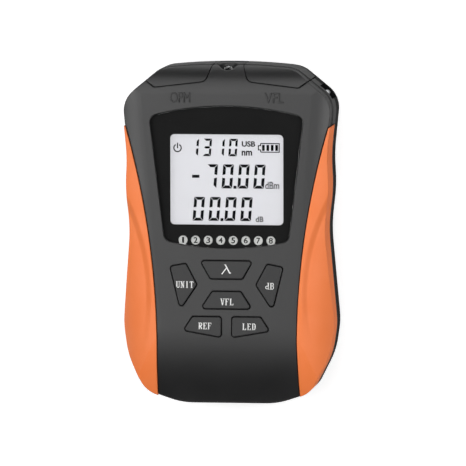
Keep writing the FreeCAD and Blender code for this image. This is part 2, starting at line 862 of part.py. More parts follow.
def window_rooms():
    """What the window, the display and its lights take out of the face."""
    under_face = "ledge_floor - board_top"
    return [
        window("window_seat", "lens_floor", "case_depth", "0"),
        view_opening("view_hole", "board_top", "case_depth", "glass_gap"),
        light_rods("light_holes", "light_radius + lens_gap", "board_top", "case_depth"),
        display_block("display_room", "board_top", "frame_wall + 2*glass_gap", under_face),
    ]


def display_window():
    """A clear window over a black printed mask, both in the face's seat."""
    lens_low = "lens_floor + mask_thickness"
    lens = window("lens_blank", lens_low, "lens_thickness", "-lens_gap")
    rounded(lens, "lens_edge", "lens_edge_radius", level(f"{lens_low} + lens_thickness"))
    node(lens, "display_lens")
    film = window("mask_blank", "lens_floor", "mask_thickness", "-lens_gap")
    view = view_opening("mask_view", "case_depth/2", "case_depth", "0")
    lights = light_rods("mask_lights", "light_radius", "case_depth/2", "case_depth")
    node(cut("mask", film, view, lights), "lens_mask")


def display_module():
    """Glass, its frame, the light guide behind it and the rubber contact strip to the board."""
    node(display_block("glass", "glass_floor", "0", "glass_thickness"), "lcd_glass")
    under_glass = "glass_floor - board_top"
    taken = "contact_width + 4*glass_gap"
    guide = ("0", f"glass_foot_y + {taken}", "board_top", "glass_width", f"glass_height - ({taken})")
    node(block("guide", *guide, under_glass), "lcd_backlight")
    strip = ("0", "glass_foot_y + glass_gap", "board_top", "glass_width - 2*contact_inset")
    node(block("strip", *strip, "contact_width", under_glass), "lcd_contacts")
    frame_height = "ledge_floor - fit_gap - board_top"
    outside = display_block("frame_outside", "board_top", "frame_wall + fit_gap", frame_height)
    node(cut("frame", outside, display_block("frame_inside", "0", "fit_gap", "case_depth")), "lcd_frame")


def wire_lights():
    """One clear moulding of eight pipes on a bar, and the eight light chips under it."""
    low = "board_top + light_bar_floor"
    pipes = light_rods("pipes", "light_radius", low, f"lens_floor - fit_gap - ({low})")
    wide = "(light_count - 1)*light_pitch + 2*light_radius"
    size = (wide, "light_bar_length", "light_bar_height")
    bar = block("bar", "0", "light_y - light_bar_length/2", low, *size)
    node(fuse("pipes_and_bar", pipes, bar), "light_pipes")
    size = ("light_chip_width", "light_chip_length", "light_bar_floor - fit_gap")
    chips = [
        block(f"light_chip_{i}", x, "light_y - light_chip_length/2", "board_top", *size)
        for i, x in enumerate(light_spots(), start=1)
    ]
    node(fuse("chips", *chips), "light_chips")


# ---- keypad ----------------------------------------------------------------------------------


def key_outlines():
    """Each key's plan outline. The ring of four side keys mirrors left to right."""
    wave = [("wave_half_top", "-wave_top_y"), ("wave_half_foot", "-wave_foot_y")]
    fault = [("fault_half_top", "-fault_top_y"), ("fault_half_foot", "-fault_foot_y")]
    side = [("side_outer_x", "-side_outer_y"), ("side_foot_x", "-side_foot_y")]
    side += [("side_notch_x", "-side_notch_y"), ("side_inner_x", "-side_inner_y")]
    low = [("low_inner_x", "-low_top_y"), ("low_outer_x", "-low_top_y")]
    low += [("low_corner_x", "-low_corner_y"), ("low_inner_x", "-low_foot_y")]
    return {
        "wavelength_key": both_sides(wave),
        "fault_light_key": both_sides(fault),
        "decibel_key": side,
        "unit_key": [(f"-({x})", y) for x, y in reversed(side)],
        "torch_key": low,
        "reference_key": [(f"-({x})", y) for x, y in reversed(low)],
    }


def key_top(name, points):
    """A key's upper part. Its face falls away towards the port end, from a proud foot edge."""
    top = prism(f"{name}_top", "key_floor", "key_top - key_floor", points)
    rounded(top, f"{name}_top_corners", "key_corner", upright())
    along = sorted((y for _, y in points), key=number)
    foot, head = along[0], along[-1]
    fall = [(foot, "key_top"), (head, "key_top - key_fall"), (head, "key_top")]
    sloped = top.newObject("PartDesign::Pocket", f"{name}_fall")
    sloped.Profile = outline(top, f"{name}_fall_profile", "YZ_Plane", "0", fall)
    sloped.Midplane = True
    bind(sloped, Length="2*case_width")
    doc.recompute()
    lowest = number("key_top - key_fall - fit_gap")
    rounded(top, f"{name}_edge", "key_edge", lambda edge: edge.BoundBox.ZMin > lowest)
    return top


def keypad():
    """Hard key tops with a flange that holds them under the face, on one rubber mat."""
    rooms = []
    bosses = []
    boss_floor = "board_top + mat_thickness/2"
    for name, points in key_outlines().items():
        shaft = prism(f"{name}_shaft", "key_floor", "key_top - key_floor", points)
        rounded(shaft, f"{name}_corners", "key_corner", upright())
        rooms.append(grown(f"{name}_room", shaft, "key_gap"))
        skirt = grown(f"{name}_skirt", shaft, "key_flange")
        flange = common(f"{name}_flange", skirt, slab(f"{name}_slab", "key_floor", "key_flange_height"))
        node(fuse(f"{name}_whole", key_top(name, points), flange), name)
        middle_x = " + ".join(x for x, _ in points)
        middle_y = " + ".join(y for _, y in points)
        middle = (f"({middle_x})/{len(points)}", f"({middle_y})/{len(points)}", boss_floor)
        tall = f"key_floor - ({boss_floor})"
        bosses.append(rod(f"{name}_boss", "mat_boss_radius", tall, *middle))
    sheet_form = mat_form("mat_sheet", "board_top", "mat_thickness", "0")
    node(fuse("mat", sheet_form, *bosses), "keypad_mat")
    rooms.append(mat_form("mat_room", "board_top", "case_depth - key_plate - board_top", "key_gap"))
    return rooms


def mat_form(name, floor, height, gap):
    right = [(f"mat_half_width + {gap}", f"-mat_top_y + {gap}")]
    right += [(f"mat_half_width + {gap}", "-mat_waist_y")]
    right += [(f"mat_foot_half + {gap}", f"-mat_foot_y - {gap}")]
    return prism(name, floor, height, both_sides(right))


# ---- board, sockets and what is on it --------------------------------------------------------


def main_board():
    """One board across the whole case, narrower at the foot, held up under the face by four screws."""
    right = [("board_half_width", "board_top_y"), ("board_half_width", "board_waist_y")]
    right += [("board_tail_half", "board_waist_y - board_taper"), ("board_tail_half", "board_tail_y")]
    blank = prism("board_blank", "board_floor", "board_thickness", both_sides(right))
    radius = "board_screw_radius + 2*screw_gap"
    holes = at_screws("board", lambda name, x, y: rod(f"{name}_hole", radius, "case_depth", x, y, "0"))
    node(cut("board", blank, *holes), "main_board")
    chip = ("chip_x", "chip_y", "board_floor - chip_height", "chip_size", "chip_size", "chip_height")
    node(block("chip", *chip), "controller_chip")
    can = ("buzzer_height", "buzzer_x", "buzzer_y", "board_floor - buzzer_height")
    node(rod("buzzer_can", "buzzer_radius", *can), "buzzer")
    size = ("plug_socket_width", "plug_socket_length", "plug_socket_height")
    spot = ("plug_socket_x", "plug_socket_y", "board_floor - plug_socket_height")
    node(block("cell_plug", *spot, *size), "battery_connector")


def network_jack():
    """An eight-way socket under the board's foot end, with its row of contact springs."""
    low = "board_floor - jack_height"
    housing = block("jack_block", "jack_x", "jack_front_y", low, "jack_width", "jack_depth", "jack_height")
    outside_y = "jack_front_y - wall_overlap"
    deep = "jack_mouth_depth + wall_overlap"
    mouth_floor = f"{low} + jack_mouth_rise"
    mouth = ("jack_x", outside_y, mouth_floor, "jack_mouth_width", deep, "jack_mouth_height")
    latch_floor = f"{mouth_floor} + jack_mouth_height - latch_height"
    latch = ("jack_x", outside_y, latch_floor, "latch_width", deep, "2*latch_height")
    tools = (block("jack_mouth", *mouth), block("jack_latch", *latch))
    node(cut("jack_housing", housing, *tools), "network_jack_housing")
    springs = []
    size = ("contact_thickness", "contact_length", "contact_height")
    for i in range(int(number("contact_count"))):
        x = f"jack_x + ({i} - (contact_count - 1)/2)*contact_pitch"
        spring = (x, "jack_front_y + contact_set_back", mouth_floor)
        springs.append(block(f"spring_{i + 1}", *spring, *size))
    node(fuse("jack_springs", *springs), "network_jack_contacts")


def charge_socket():
    """A small flat charging socket beside the jack: a folded steel sleeve with a plastic tongue."""
    low = "board_floor - charge_height"
    size = ("charge_width", "charge_depth", "charge_height")
    body = block("sleeve_block", "charge_x", "jack_front_y", low, *size)
    size = ("charge_width - 2*charge_wall", "charge_depth", "charge_height - 2*charge_wall")
    mouth = ("charge_x", "jack_front_y - tongue_set_back", f"{low} + charge_wall")
    node(cut("sleeve", body, block("sleeve_mouth", *mouth, *size)), "charge_socket")
    size = ("tongue_width", "charge_depth - 2*tongue_set_back", "tongue_thickness")
    low = f"{low} + (charge_height - tongue_thickness)/2"
    tongue = block("tongue", "charge_x", "jack_front_y + tongue_set_back", low, *size)
    node(tongue, "charge_socket_tongue")


def battery():
    """A flat pouch cell on a foam pad inside the rear shell's fence."""
    node(cell_block("foam", "rear_floor", "-pad_inset", "pad_thickness"), "battery_pad")
    right = [("cell_width/2", "cell_foot_y + cell_length"), ("cell_width/2", "cell_foot_y")]
    cell = prism("cell", "rear_floor + pad_thickness", "cell_thickness", both_sides(right))
    rounded(cell, "cell_edges", "cell_edge", upright())
    node(cell, "battery_cell")


# ---- ports, torch and caps -------------------------------------------------------------------


def adapter(kind, x, bore_radius):
    """A metal flange and nozzle with a bore for a ferrule, or for the sleeve that holds one."""
    at = (x, "port_flange_y", "port_height", ALONG_Y)
    reach = "port_face_y - port_flange_y"
    flange = rod(f"{kind}_flange", "port_flange_radius", "port_flange_thickness", *at)
    nozzle = rod(f"{kind}_nozzle", "port_nozzle_radius", reach, *at)
    bore = rod(f"{kind}_bore", bore_radius, "port_end - port_flange_y", *at)
    node(cut(f"{kind}_adapter_whole", fuse(f"{kind}_turning", flange, nozzle), bore), f"{kind}_adapter")


def power_port():
    """The adapter that takes a ferrule, and the detector in its holder behind it."""
    adapter("power", "-port_x", "ferrule_radius")
    behind = ("holder_length", "-port_x", "port_flange_y - holder_length", "port_height", ALONG_Y)
    seat = ("-port_x", "port_flange_y - diode_length", "port_height", ALONG_Y)
    pocket = rod("holder_pocket", "diode_radius + fit_gap", "2*diode_length", *seat)
    leads = rod("holder_lead_hole", "lead_hole_radius", *behind)
    node(cut("holder", rod("holder_rod", "holder_radius", *behind), pocket, leads), "detector_holder")
    node(rod("diode", "diode_radius", "diode_length - fit_gap", *seat), "photodiode")


def fault_port():
    """The visible laser: a brass module with a metal nose that holds a split ceramic sleeve."""
    outer = "ferrule_radius + sleeve_wall"
    adapter("fault", "port_x", outer)
    at = ("port_x", "port_flange_y", "port_height", ALONG_Y)
    long = "port_face_y - port_flange_y - fit_gap"
    node(ring("fault_sleeve_tube", outer, "ferrule_radius", long, *at), "fault_sleeve")
    behind = ("laser_length", "port_x", "port_flange_y - laser_length", "port_height", ALONG_Y)
    node(rod("laser", "laser_radius", *behind), "laser_module")


def torch():
    """A white 5 mm light in a black ring, high in the end between the two port caps."""
    at = ("0", "torch_tip_y - torch_length", "torch_height", ALONG_Y)
    barrel = rod("torch_barrel", "torch_radius", "torch_length - torch_radius", *at)
    dome = doc.addObject("Part::Sphere", "torch_dome")
    bind(dome, Radius="torch_radius", Placement__Base__y="torch_tip_y - torch_radius")
    bind(dome, Placement__Base__z="torch_height")
    node(fuse("torch_light", barrel, dome), "torch_led")
    at = ("0", "bezel_y", "torch_height", ALONG_Y)
    bezel = ring("torch_ring", "bezel_radius", "torch_radius + fit_gap", "bezel_length", *at)
    node(bezel, "torch_bezel")


def port_cap(name, side):
    """A cap over one port. Its knuckle turns on two short pins in the rear shell's end wall."""
    x = f"{side}*port_x"
    wall = common(f"{name}_wall", plan, slab(f"{name}_wall_slab", "0", "ledge_height"))
    zone = cap_zone(f"{name}_zone", "cap_seam", "cap_floor + cap_gap", side)
    skin = common(f"{name}_skin", fuse(f"{name}_outside", wall, crown_plan), roof, zone)
    plug_y = "port_end - grip_thickness + cap_gap - plug_length"
    plug_long = "plug_length + grip_thickness + top_bow"
    at = (x, plug_y, "port_height", ALONG_Y)
    tube = ring(f"{name}_tube", "plug_radius", "plug_radius - plug_wall", plug_long, *at)
    plug = common(f"{name}_plug", tube, grown(f"{name}_plug_plan", plan, "-grip_thickness/2"))
    size = ("knuckle_length", "2*neck_half", "cap_floor + cap_gap + neck_rise - hinge_height")
    neck = block(f"{name}_neck", x, "hinge_y - neck_half", "hinge_height", *size)
    axle = ("hinge_y", "hinge_height", ALONG_X)
    start = f"{x} - knuckle_length/2"
    knuckle = rod(f"{name}_knuckle", "knuckle_radius", "knuckle_length", start, *axle)
    long = "knuckle_length + 2*pin_reach"
    pins = rod(f"{name}_pins", "pin_radius", long, f"{x} - ({long})/2", *axle)
    parts = (cut(f"{name}_shell", skin, cap_inside), plug, neck, knuckle, pins)
    node(fuse(f"{name}_whole", *parts), name)


# ---- fasteners -------------------------------------------------------------------------------


def screws(kind, floor):
    """A kind's four pan-head screws, all pointing up, each head's face at floor."""

    def screw(name, x, y):
        head = rod(f"{name}_head", f"{kind}_head_radius", f"{kind}_head_height", x, y, floor)
        long = f"{kind}_head_height + {kind}_screw_length"
        return fuse(f"{name}_screw", head, rod(f"{name}_shank", f"{kind}_screw_radius", long, x, y, floor))

    node(fuse(f"four_{kind}_screws", *at_screws(kind, screw)), f"{kind}_screws")


# ---- build and write -------------------------------------------------------------------------

openings = end_openings()
key_rooms = keypad()
rear_shell(openings)
front_shell(openings, key_rooms)
for side_name, side in SIDES.items():
    grip(f"{side_name}_grip", side)
display_window()
display_module()
wire_lights()
main_board()
network_jack()
charge_socket()
battery()
power_port()
fault_port()
torch()
port_cap("power_cap", SIDES["left"])
port_cap("fault_cap", SIDES["right"])
screws("case", "case_head_floor")
screws("board", "board_floor - board_head_height")
node(rod("lanyard_pin", "lanyard_radius", *LANYARD_AT), "lanyard_bar")
doc.recompute()

failed = [item.Name for item in doc.Objects if {"Invalid", "Error"} & set(item.State)]
if failed:
    raise RuntimeError(f"failed to recompute: {failed}")
for item in NODES:
    if item.Shape.isNull() or not item.Shape.isValid() or not item.Shape.Solids:
        raise RuntimeError(f"no valid shape: {item.Label}")
os.makedirs("parts", exist_ok=True)
for item in NODES:
    item.Shape.exportStep(f"parts/{item.Label}.step")
    print(f"{item.Label}: {item.Shape.Volume:.0f} mm3, {len(item.Shape.Solids)} solids")
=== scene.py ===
import math

import bmesh
import bpy
from mathutils import Matrix, Vector
from mathutils.bvhtree import BVHTree


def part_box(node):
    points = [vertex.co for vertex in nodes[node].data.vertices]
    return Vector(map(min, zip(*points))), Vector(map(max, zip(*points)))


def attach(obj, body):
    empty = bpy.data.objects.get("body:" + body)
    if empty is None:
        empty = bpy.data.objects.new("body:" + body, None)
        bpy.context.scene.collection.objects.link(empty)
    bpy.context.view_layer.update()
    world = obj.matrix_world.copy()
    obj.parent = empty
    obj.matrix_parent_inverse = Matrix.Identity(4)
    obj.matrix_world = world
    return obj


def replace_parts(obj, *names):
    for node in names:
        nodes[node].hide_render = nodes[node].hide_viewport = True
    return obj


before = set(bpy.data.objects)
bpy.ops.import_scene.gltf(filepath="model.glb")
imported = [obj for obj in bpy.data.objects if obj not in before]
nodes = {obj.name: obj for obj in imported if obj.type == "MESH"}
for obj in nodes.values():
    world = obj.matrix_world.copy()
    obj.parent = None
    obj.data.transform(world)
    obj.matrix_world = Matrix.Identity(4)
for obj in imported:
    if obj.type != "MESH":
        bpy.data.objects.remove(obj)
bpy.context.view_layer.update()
MM = 0.001


# ---- rear shell ------------------------------------------------------------------------------
# The back half of the case is moulded in black ABS. Its mould is spark-eroded, which leaves an
# even, very fine grain that breaks up every highlight.


def linear(colour):
    """An sRGB hex colour as the linear RGBA that shaders take."""
    parts = [int(colour[i : i + 2], 16) / 255 for i in (0, 2, 4)]
    return [p / 12.92 if p <= 0.04045 else ((p + 0.055) / 1.055) ** 2.4 for p in parts] + [1]


def add(tree, kind, inputs=None, **settings):
    """Adds a node, sets it up, and sets or links its inputs by name or number."""
    made = tree.nodes.new(kind)
    for key, value in settings.items():
        setattr(made, key, value)
    for key, value in (inputs or {}).items():
        if isinstance(value, bpy.types.NodeSocket):
            tree.links.new(value, made.inputs[key])
        else:
            made.inputs[key].default_value = value
    return made


def surface(name, settings):
    """A material of one Principled shader. Returns it, its tree and the shader."""
    material = bpy.data.materials.new(name)
    material.use_nodes = True
    tree = material.node_tree
    tree.nodes.clear()
    shader = add(tree, "ShaderNodeBsdfPrincipled", settings)
    add(tree, "ShaderNodeOutputMaterial", {"Surface": shader.outputs["BSDF"]})
    return material, tree, shader


def grain(tree, size, detail=2.0, stretch=(1, 1, 1)):
    """Noise whose blotches are size metres across, on the piece's own coordinates."""
    place = add(tree, "ShaderNodeTexCoord").outputs["Object"]
    scaled = add(tree, "ShaderNodeMapping", {"Vector": place, "Scale": stretch})
    return add(
        tree,
        "ShaderNodeTexNoise",
        {"Vector": scaled.outputs["Vector"], "Scale": 1 / size, "Detail": detail},
    ).outputs["Fac"]


def spread(tree, value, low, high, start=0.3, end=0.7, **settings):
    """A value's stretch from start to end, by default the middle of noise, spread over a range."""
    limits = {"From Min": start, "From Max": end, "To Min": low, "To Max": high}
    return add(tree, "ShaderNodeMapRange", {"Value": value, **limits}, **settings).outputs["Result"]


def tint(tree, shader, mix, colour, worn):
    """Colours a shader from one hex colour to another as mix goes from 0 to 1."""
    mixed = add(
        tree,
        "ShaderNodeMix",
        {"Factor": mix, "A": linear(colour), "B": linear(worn)},
        data_type="RGBA",
    )
    tree.links.new(mixed.outputs["Result"], shader.inputs["Base Color"])


def gloss(tree, shader, value, low, high):
    """Lets a shader's roughness drift with noise from low to high."""
    tree.links.new(spread(tree, value, low, high), shader.inputs["Roughness"])


def relief(tree, shader, height, depth, skin=None):
    """Raises a shader's surface by depth where height is 1, on the skin that it had."""
    form = add(tree, "ShaderNodeBump", {"Height": height, "Distance": depth})
    if skin:
        tree.links.new(skin, form.inputs["Normal"])
    tree.links.new(form.outputs["Normal"], shader.inputs["Normal"])


def moulded(name, colour, worn, roughness, grit, depth, edge=0.25 * MM, settings=None):
    """A moulded plastic or rubber: an even grain, with colour and gloss that drift slightly.

    Its edges take the light as if they were rounded by edge.
    """
    material, tree, shader = surface(name, {"IOR": 1.5, **(settings or {})})
    drift = grain(tree, 14 * MM, 3)
    tint(tree, shader, spread(tree, drift, 0, 1), colour, worn)
    gloss(tree, shader, drift, roughness - 0.02, roughness + 0.03)
    worn_edge = add(tree, "ShaderNodeBevel", {"Radius": edge}, samples=4).outputs["Normal"]
    relief(tree, shader, grain(tree, grit), depth, worn_edge)
    return material


def dress(material, *names):
    """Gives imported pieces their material."""
    for name in names:
        mesh = nodes[name].data
        mesh.materials.clear()
        mesh.materials.append(material)


def shader_of(material):
    """A material's tree and its Principled shader."""
    tree = material.node_tree
    return tree, next(n for n in tree.nodes if n.type == "BSDF_PRINCIPLED")


# A wall counts as upright where its normal rises by less than UPRIGHT, and as level above LEVEL.
# Coarse erosion adds COARSE to its roughness.
UPRIGHT = 0.1
LEVEL = 0.45
COARSE = 0.5


def dull_flanks(material):
    """Roughens a moulding's upright walls, where the mould is eroded more coarsely for release."""
    tree, shader = shader_of(material)
    smooth = shader.inputs["Roughness"].links[0].from_socket
    facing = add(tree, "ShaderNodeTexCoord").outputs["Normal"]
    rise = add(tree, "ShaderNodeSeparateXYZ", {"Vector": facing}).outputs["Z"]
    flank = spread(tree, rise, COARSE, 0, UPRIGHT, LEVEL, interpolation_type="SMOOTHSTEP")
    rougher = add(tree, "ShaderNodeMath", {0: smooth, 1: flank}, operation="ADD", use_clamp=True)
    tree.links.new(rougher.outputs[0], shader.inputs["Roughness"])


# A flat black, with hardly any shine of its own.
dull = {"Specular IOR Level": 0.12}

# The grain is drawn at 0.5 mm, because the real one of about 0.1 mm is too fine to show.
rear_abs = moulded(
    "spark_eroded_black_abs", "080809", "0b0b0c", 0.7, 0.5 * MM, 0.008 * MM, settings=dull
)
dress(rear_abs, "rear_shell")
dull_flanks(rear_abs)


# ---- front shell -----------------------------------------------------------------------------
# The display half is the same ABS in a charcoal grade, with a finer, slightly silkier grain, so
# it picks up a soft sheen on top and goes dark where it slopes away.

silky = {"Specular IOR Level": 0.8}
front_abs = moulded(
    "silk_moulded_charcoal_abs", "0b0b0c", "0e0e0f", 0.46, 0.4 * MM, 0.005 * MM, 0.5 * MM, silky
)
dress(front_abs, "front_shell")
dull_flanks(front_abs)


# ---- grips -----------------------------------------------------------------------------------
# Orange thermoplastic elastomer, moulded over both flanks. It is matt and a little waxy, so its
# colour stays full and its highlights are broad and weak.

grip_elastomer = moulded(
    "matt_orange_elastomer", "f98547", "f67f3d", 0.56, 0.45 * MM, 0.008 * MM, 0.5 * MM
)
dress(grip_elastomer, "left_grip", "right_grip")
dull_flanks(grip_elastomer)

# A shallow finger scoop is pressed into each flank. Its inner rim is an arc whose middle lies
# beyond the flank. The rim rises over its width, and fades out towards the foot.
SCOOP_MIDDLE = Vector((101.6 * MM, -21 * MM, 0))
SCOOP_RADIUS = 73 * MM
RIM_WIDTH = 2.5 * MM
FADE_START = -18 * MM
FADE_END = -45 * MM
SCOOP_DEPTH = 0.7 * MM


def finger_scoop(material):
    """Presses the scoop into both grips, which mirror each other."""
    tree, shader = shader_of(material)
    skin = shader.inputs["Normal"].links[0].from_socket
    place = add(tree, "ShaderNodeTexCoord").outputs["Object"]
    along = add(tree, "ShaderNodeSeparateXYZ", {"Vector": place}).outputs["Y"]
    folded = add(tree, "ShaderNodeVectorMath", {0: place}, operation="ABSOLUTE").outputs["Vector"]
    across = add(tree, "ShaderNodeSeparateXYZ", {"Vector": folded}).outputs["X"]
    plan = add(tree, "ShaderNodeCombineXYZ", {"X": across, "Y": along}).outputs["Vector"]
    away = add(tree, "ShaderNodeVectorMath", {0: plan, 1: SCOOP_MIDDLE}, operation="DISTANCE")
    rim = (away.outputs["Value"], 0, 1, SCOOP_RADIUS, SCOOP_RADIUS + RIM_WIDTH)
    fade = (along, 0, 1, FADE_END, FADE_START)
    steps = [spread(tree, *step, interpolation_type="SMOOTHSTEP") for step in (rim, fade)]
    proud = add(tree, "ShaderNodeMath", {0: steps[0], 1: steps[1]}, operation="MULTIPLY")
    relief(tree, shader, proud.outputs[0], SCOOP_DEPTH, skin)


finger_scoop(grip_elastomer)


# ---- battery ---------------------------------------------------------------------------------
# A lithium pouch cell in pale aluminium laminate lies on a strip of black foam. The laminate
# is soft and faintly crumpled, the foam all open cells.

cell_foil, tree, shader = surface(
    "crumpled_cell_laminate", {"Base Color": linear("b9bcc0"), "Metallic": 0.85}
)
crumple = grain(tree, 3 * MM, 4)
relief(tree, shader, crumple, 0.12 * MM)
gloss(tree, shader, crumple, 0.3, 0.42)
dress(cell_foil, "battery_cell")

foam = moulded("open_cell_foam", "1a1a1b", "262627", 0.95, 0.6 * MM, 0.15 * MM)
dress(foam, "battery_pad")


# ---- main board ------------------------------------------------------------------------------
# Glass-epoxy board under green solder mask. Copper runs under the mask, which shows as slightly
# lighter bands, and the mask itself has a wet gloss.

board_mask, tree, shader = surface("solder_masked_board", {"IOR": 1.5, "Coat Weight": 0.3})
place = add(tree, "ShaderNodeTexCoord").outputs["Object"]
runs = add(
    tree,
    "ShaderNodeTexBrick",
    {
        "Vector": place,
        "Color1": linear("14532f"),
        "Color2": linear("175a34"),
        "Mortar": linear("0d3f23"),
        "Scale": 1 / (2.54 * MM),
        "Mortar Size": 0.08,
        "Brick Width": 3.0,
        "Row Height": 0.5,
    },
)
tree.links.new(runs.outputs["Color"], shader.inputs["Base Color"])
gloss(tree, shader, grain(tree, 8 * MM), 0.28, 0.36)
dress(board_mask, "main_board")

# Transfer-moulded epoxy: black, dull and slightly sandy. The buzzer and the detector's holder
# are plain black plastic of the same look.
package_epoxy = moulded("sandy_chip_epoxy", "19191a", "1e1e20", 0.62, 0.25 * MM, 0.01 * MM)
dress(package_epoxy, "controller_chip", "buzzer", "detector_holder", "charge_socket_tongue")

# The cell's plug and socket are bare nylon: cream-coloured, with a faint waxy gloss.
nylon = moulded("natural_nylon", "e6e2d6", "ddd8ca", 0.42, 0.4 * MM, 0.004 * MM)
dress(nylon, "battery_connector")


# ---- display ---------------------------------------------------------------------------------
# A monochrome glass panel with dark segments on a pale grey ground, lit from behind by a milky
# acrylic plate in a white frame. A strip of zebra rubber joins its edge to the board.

milky_acrylic = moulded("milky_acrylic", "e9ebee", "e2e5e9", 0.3, 2 * MM, 0.001 * MM)
frame_abs = moulded("white_frame_abs", "e4e4e0", "dbdbd6", 0.45, 0.4 * MM, 0.004 * MM)
dress(milky_acrylic, "lcd_backlight")
dress(frame_abs, "lcd_frame")


def stripes(tree, pitch, across, wander=0.0):
    """Stripes that lie pitch apart along an axis, on the piece's own coordinates."""
    place = add(tree, "ShaderNodeTexCoord").outputs["Object"]
    return add(
        tree,
        "ShaderNodeTexWave",
        {"Vector": place, "Scale": math.pi / (20 * pitch), "Distortion": wander},
        bands_direction=across,
    ).outputs["Fac"]


# Layers of carbon and of silicone lie in turn, dark and pink. They are drawn at 0.8 mm, because
# the real ones of about 0.1 mm are too fine to show.
zebra_rubber, tree, shader = surface("zebra_contact_rubber", {"Roughness": 0.7})
tint(tree, shader, stripes(tree, 0.8 * MM, "X"), "2a2a2c", "d8b9b4")
dress(zebra_rubber, "lcd_contacts")

# The front polariser has an anti-glare coat: pale and even, with the glow of the lamp behind.
panel_ground, tree, shader = surface(
    "antiglare_panel_ground",
    {"IOR": 1.5, "Emission Color": linear("e8e7ea"), "Emission Strength": 0.73},
)
tint(tree, shader, spread(tree, grain(tree, 20 * MM), 0, 1), "5e5e61", "626265")
gloss(tree, shader, grain(tree, 0.5 * MM), 0.38, 0.44)
dress(panel_ground, "lcd_glass")


def piece(name, bm, material, body="case"):
    """Makes a shape into a piece of the meter that rides on a body."""
    mesh = bpy.data.meshes.new(name)
    bmesh.ops.recalc_face_normals(bm, faces=bm.faces)
    bm.to_mesh(mesh)
    bm.free()
    mesh.materials.append(material)
    made = bpy.data.objects.new(name, mesh)
    bpy.context.scene.collection.objects.link(made)
    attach(made, body)
    return made


def patch(bm, x, y, width, height, turn=0.0):
    """A flat rectangle about a middle, turned by degrees."""
    spot = Matrix.Translation((x, y, 0)) @ Matrix.Rotation(math.radians(turn), 4, "Z")
    size = Matrix.Diagonal((width, height, 1, 1))
    bmesh.ops.create_grid(bm, x_segments=1, y_segments=1, size=0.5, matrix=spot @ size)


def arc(bm, x, y, radius, line, start, sweep, steps=20):
    """A flat ring or part of one, line wide about its radius. Its angles are in degrees."""
    ends = [bm.verts.new((x + radius + side * line / 2, y, 0)) for side in (-1, 1)]
    edge = bm.edges.new(ends)
    centre = Vector((x, y, 0))
    turn = Matrix.Rotation(math.radians(start), 3, "Z")
    bmesh.ops.rotate(bm, verts=ends, cent=centre, matrix=turn)
    bmesh.ops.spin(
        bm,
        geom=[*ends, edge],
        cent=centre,
        axis=(0, 0, 1),
        angle=math.radians(sweep),
        steps=steps,
        use_merge=sweep == 360,
    )


def thicken(bm, rise):
    """Raises a flat shape into a skin of that height."""
    made = bmesh.ops.extrude_face_region(bm, geom=list(bm.faces))
    tops = [v for v in made["geom"] if isinstance(v, bmesh.types.BMVert)]
    bmesh.ops.translate(bm, verts=tops, vec=(0, 0, rise))


# A digit is seven bars with mitred ends, named from the top clockwise with the bar across the
# middle last. Digits lean a little to the right.
LIT = {"0": "abcdef", "1": "bc", "3": "abcdg", "7": "abc"}
DIGIT_LEAN = math.tan(math.radians(4.5))


def digit(bm, figure, left, foot, width, height, line):
    """Adds a digit's lit bars. The bars of one quarter are mirrored to the others."""
    wide, half, gap = width / 2, height / 2, 0.1 * line
    inner, low = wide - line, half - line
    bar = [(gap - wide, half), (wide - gap, half), (inner - gap, low), (gap - inner, low)]
    side = [(wide, half - gap), (inner, low - gap), (inner, 0.65 * line), (wide, 0.4 * line)]
    across = [(-inner, line / 2), (inner, line / 2), (wide - line / 2, 0)]
    across += [(-x, -y) for x, y in across]
    shapes = {
        "a": (bar, 1, 1),
        "b": (side, 1, 1),
        "c": (side, 1, -1),
        "d": (bar, 1, -1),
        "e": (side, -1, -1),
        "f": (side, -1, 1),
        "g": (across, 1, 1),
    }
    for name in LIT[figure]:
        shape, turn_x, turn_y = shapes[name]
        spots = [(x * turn_x, y * turn_y + half) for x, y in shape]
        corners = [(left + wide + x + y * DIGIT_LEAN, foot + y, 0) for x, y in spots]
        bm.faces.new([bm.verts.new(corner) for corner in corners])


def readout(bm, figures, left, foot, width, height, line, pitch):
    """A row of digits. A point lies at the foot of the gap after its digit."""
    x = left
    for figure in figures:
        if figure == ".":
            patch(bm, x - (pitch - width) / 2 + 0.1 * line, foot + 0.42 * line, line, line)
            continue
        digit(bm, figure, x, foot, width, height, line)
        x += pitch


# The marks lie just above the panel's front. They are set out in millimetres about its middle.
glass_low, glass_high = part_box("lcd_glass")
INK_GAP = 0.02 * MM
INK_RISE = 0.02 * MM
ink_spot = (glass_low + glass_high) / 2
ink_spot.z = glass_high.z + INK_GAP

segments = bmesh.new()
for figures, left, foot, width, height, line, pitch in (
    ("1310", -13.37, 8.0, 2.95, 6.15, 0.8, 4.54),
    ("70.00", -7.75, -3.25, 3.75, 8.43, 1.05, 5.58),
    ("00.00", -12.38, -14.65, 3.75, 8.37, 1.05, 5.6),
):
    readout(segments, figures, left, foot, width, height, line, pitch)
patch(segments, -11.2, 0.9, 2.6, 1.05)

# The on mark is a ring with a bar through its gap.
ON_X = -17.6
arc(segments, ON_X, 10.8, 1.3, 0.42, 118, 304)
patch(segments, ON_X, 11.65, 0.4, 1.9)

# The battery mark is an outline with a nub at its left end, and four bars inside.
CELL_Y = 11.06
OUTLINE = 0.35
for side in (-1, 1):
    patch(segments, 14.9, CELL_Y + 1.49 * side, 6.5, OUTLINE)
    patch(segments, 11.65, CELL_Y + 1.09 * side, OUTLINE, 0.9)
    patch(segments, 11.25, CELL_Y + 0.74 * side, 0.9, OUTLINE)
patch(segments, 18.15, CELL_Y, OUTLINE, 3.33)
patch(segments, 10.85, CELL_Y, OUTLINE, 1.83)
for i in range(4):
    patch(segments, 12.6 + 1.55 * i, CELL_Y, 0.95, 2.1)

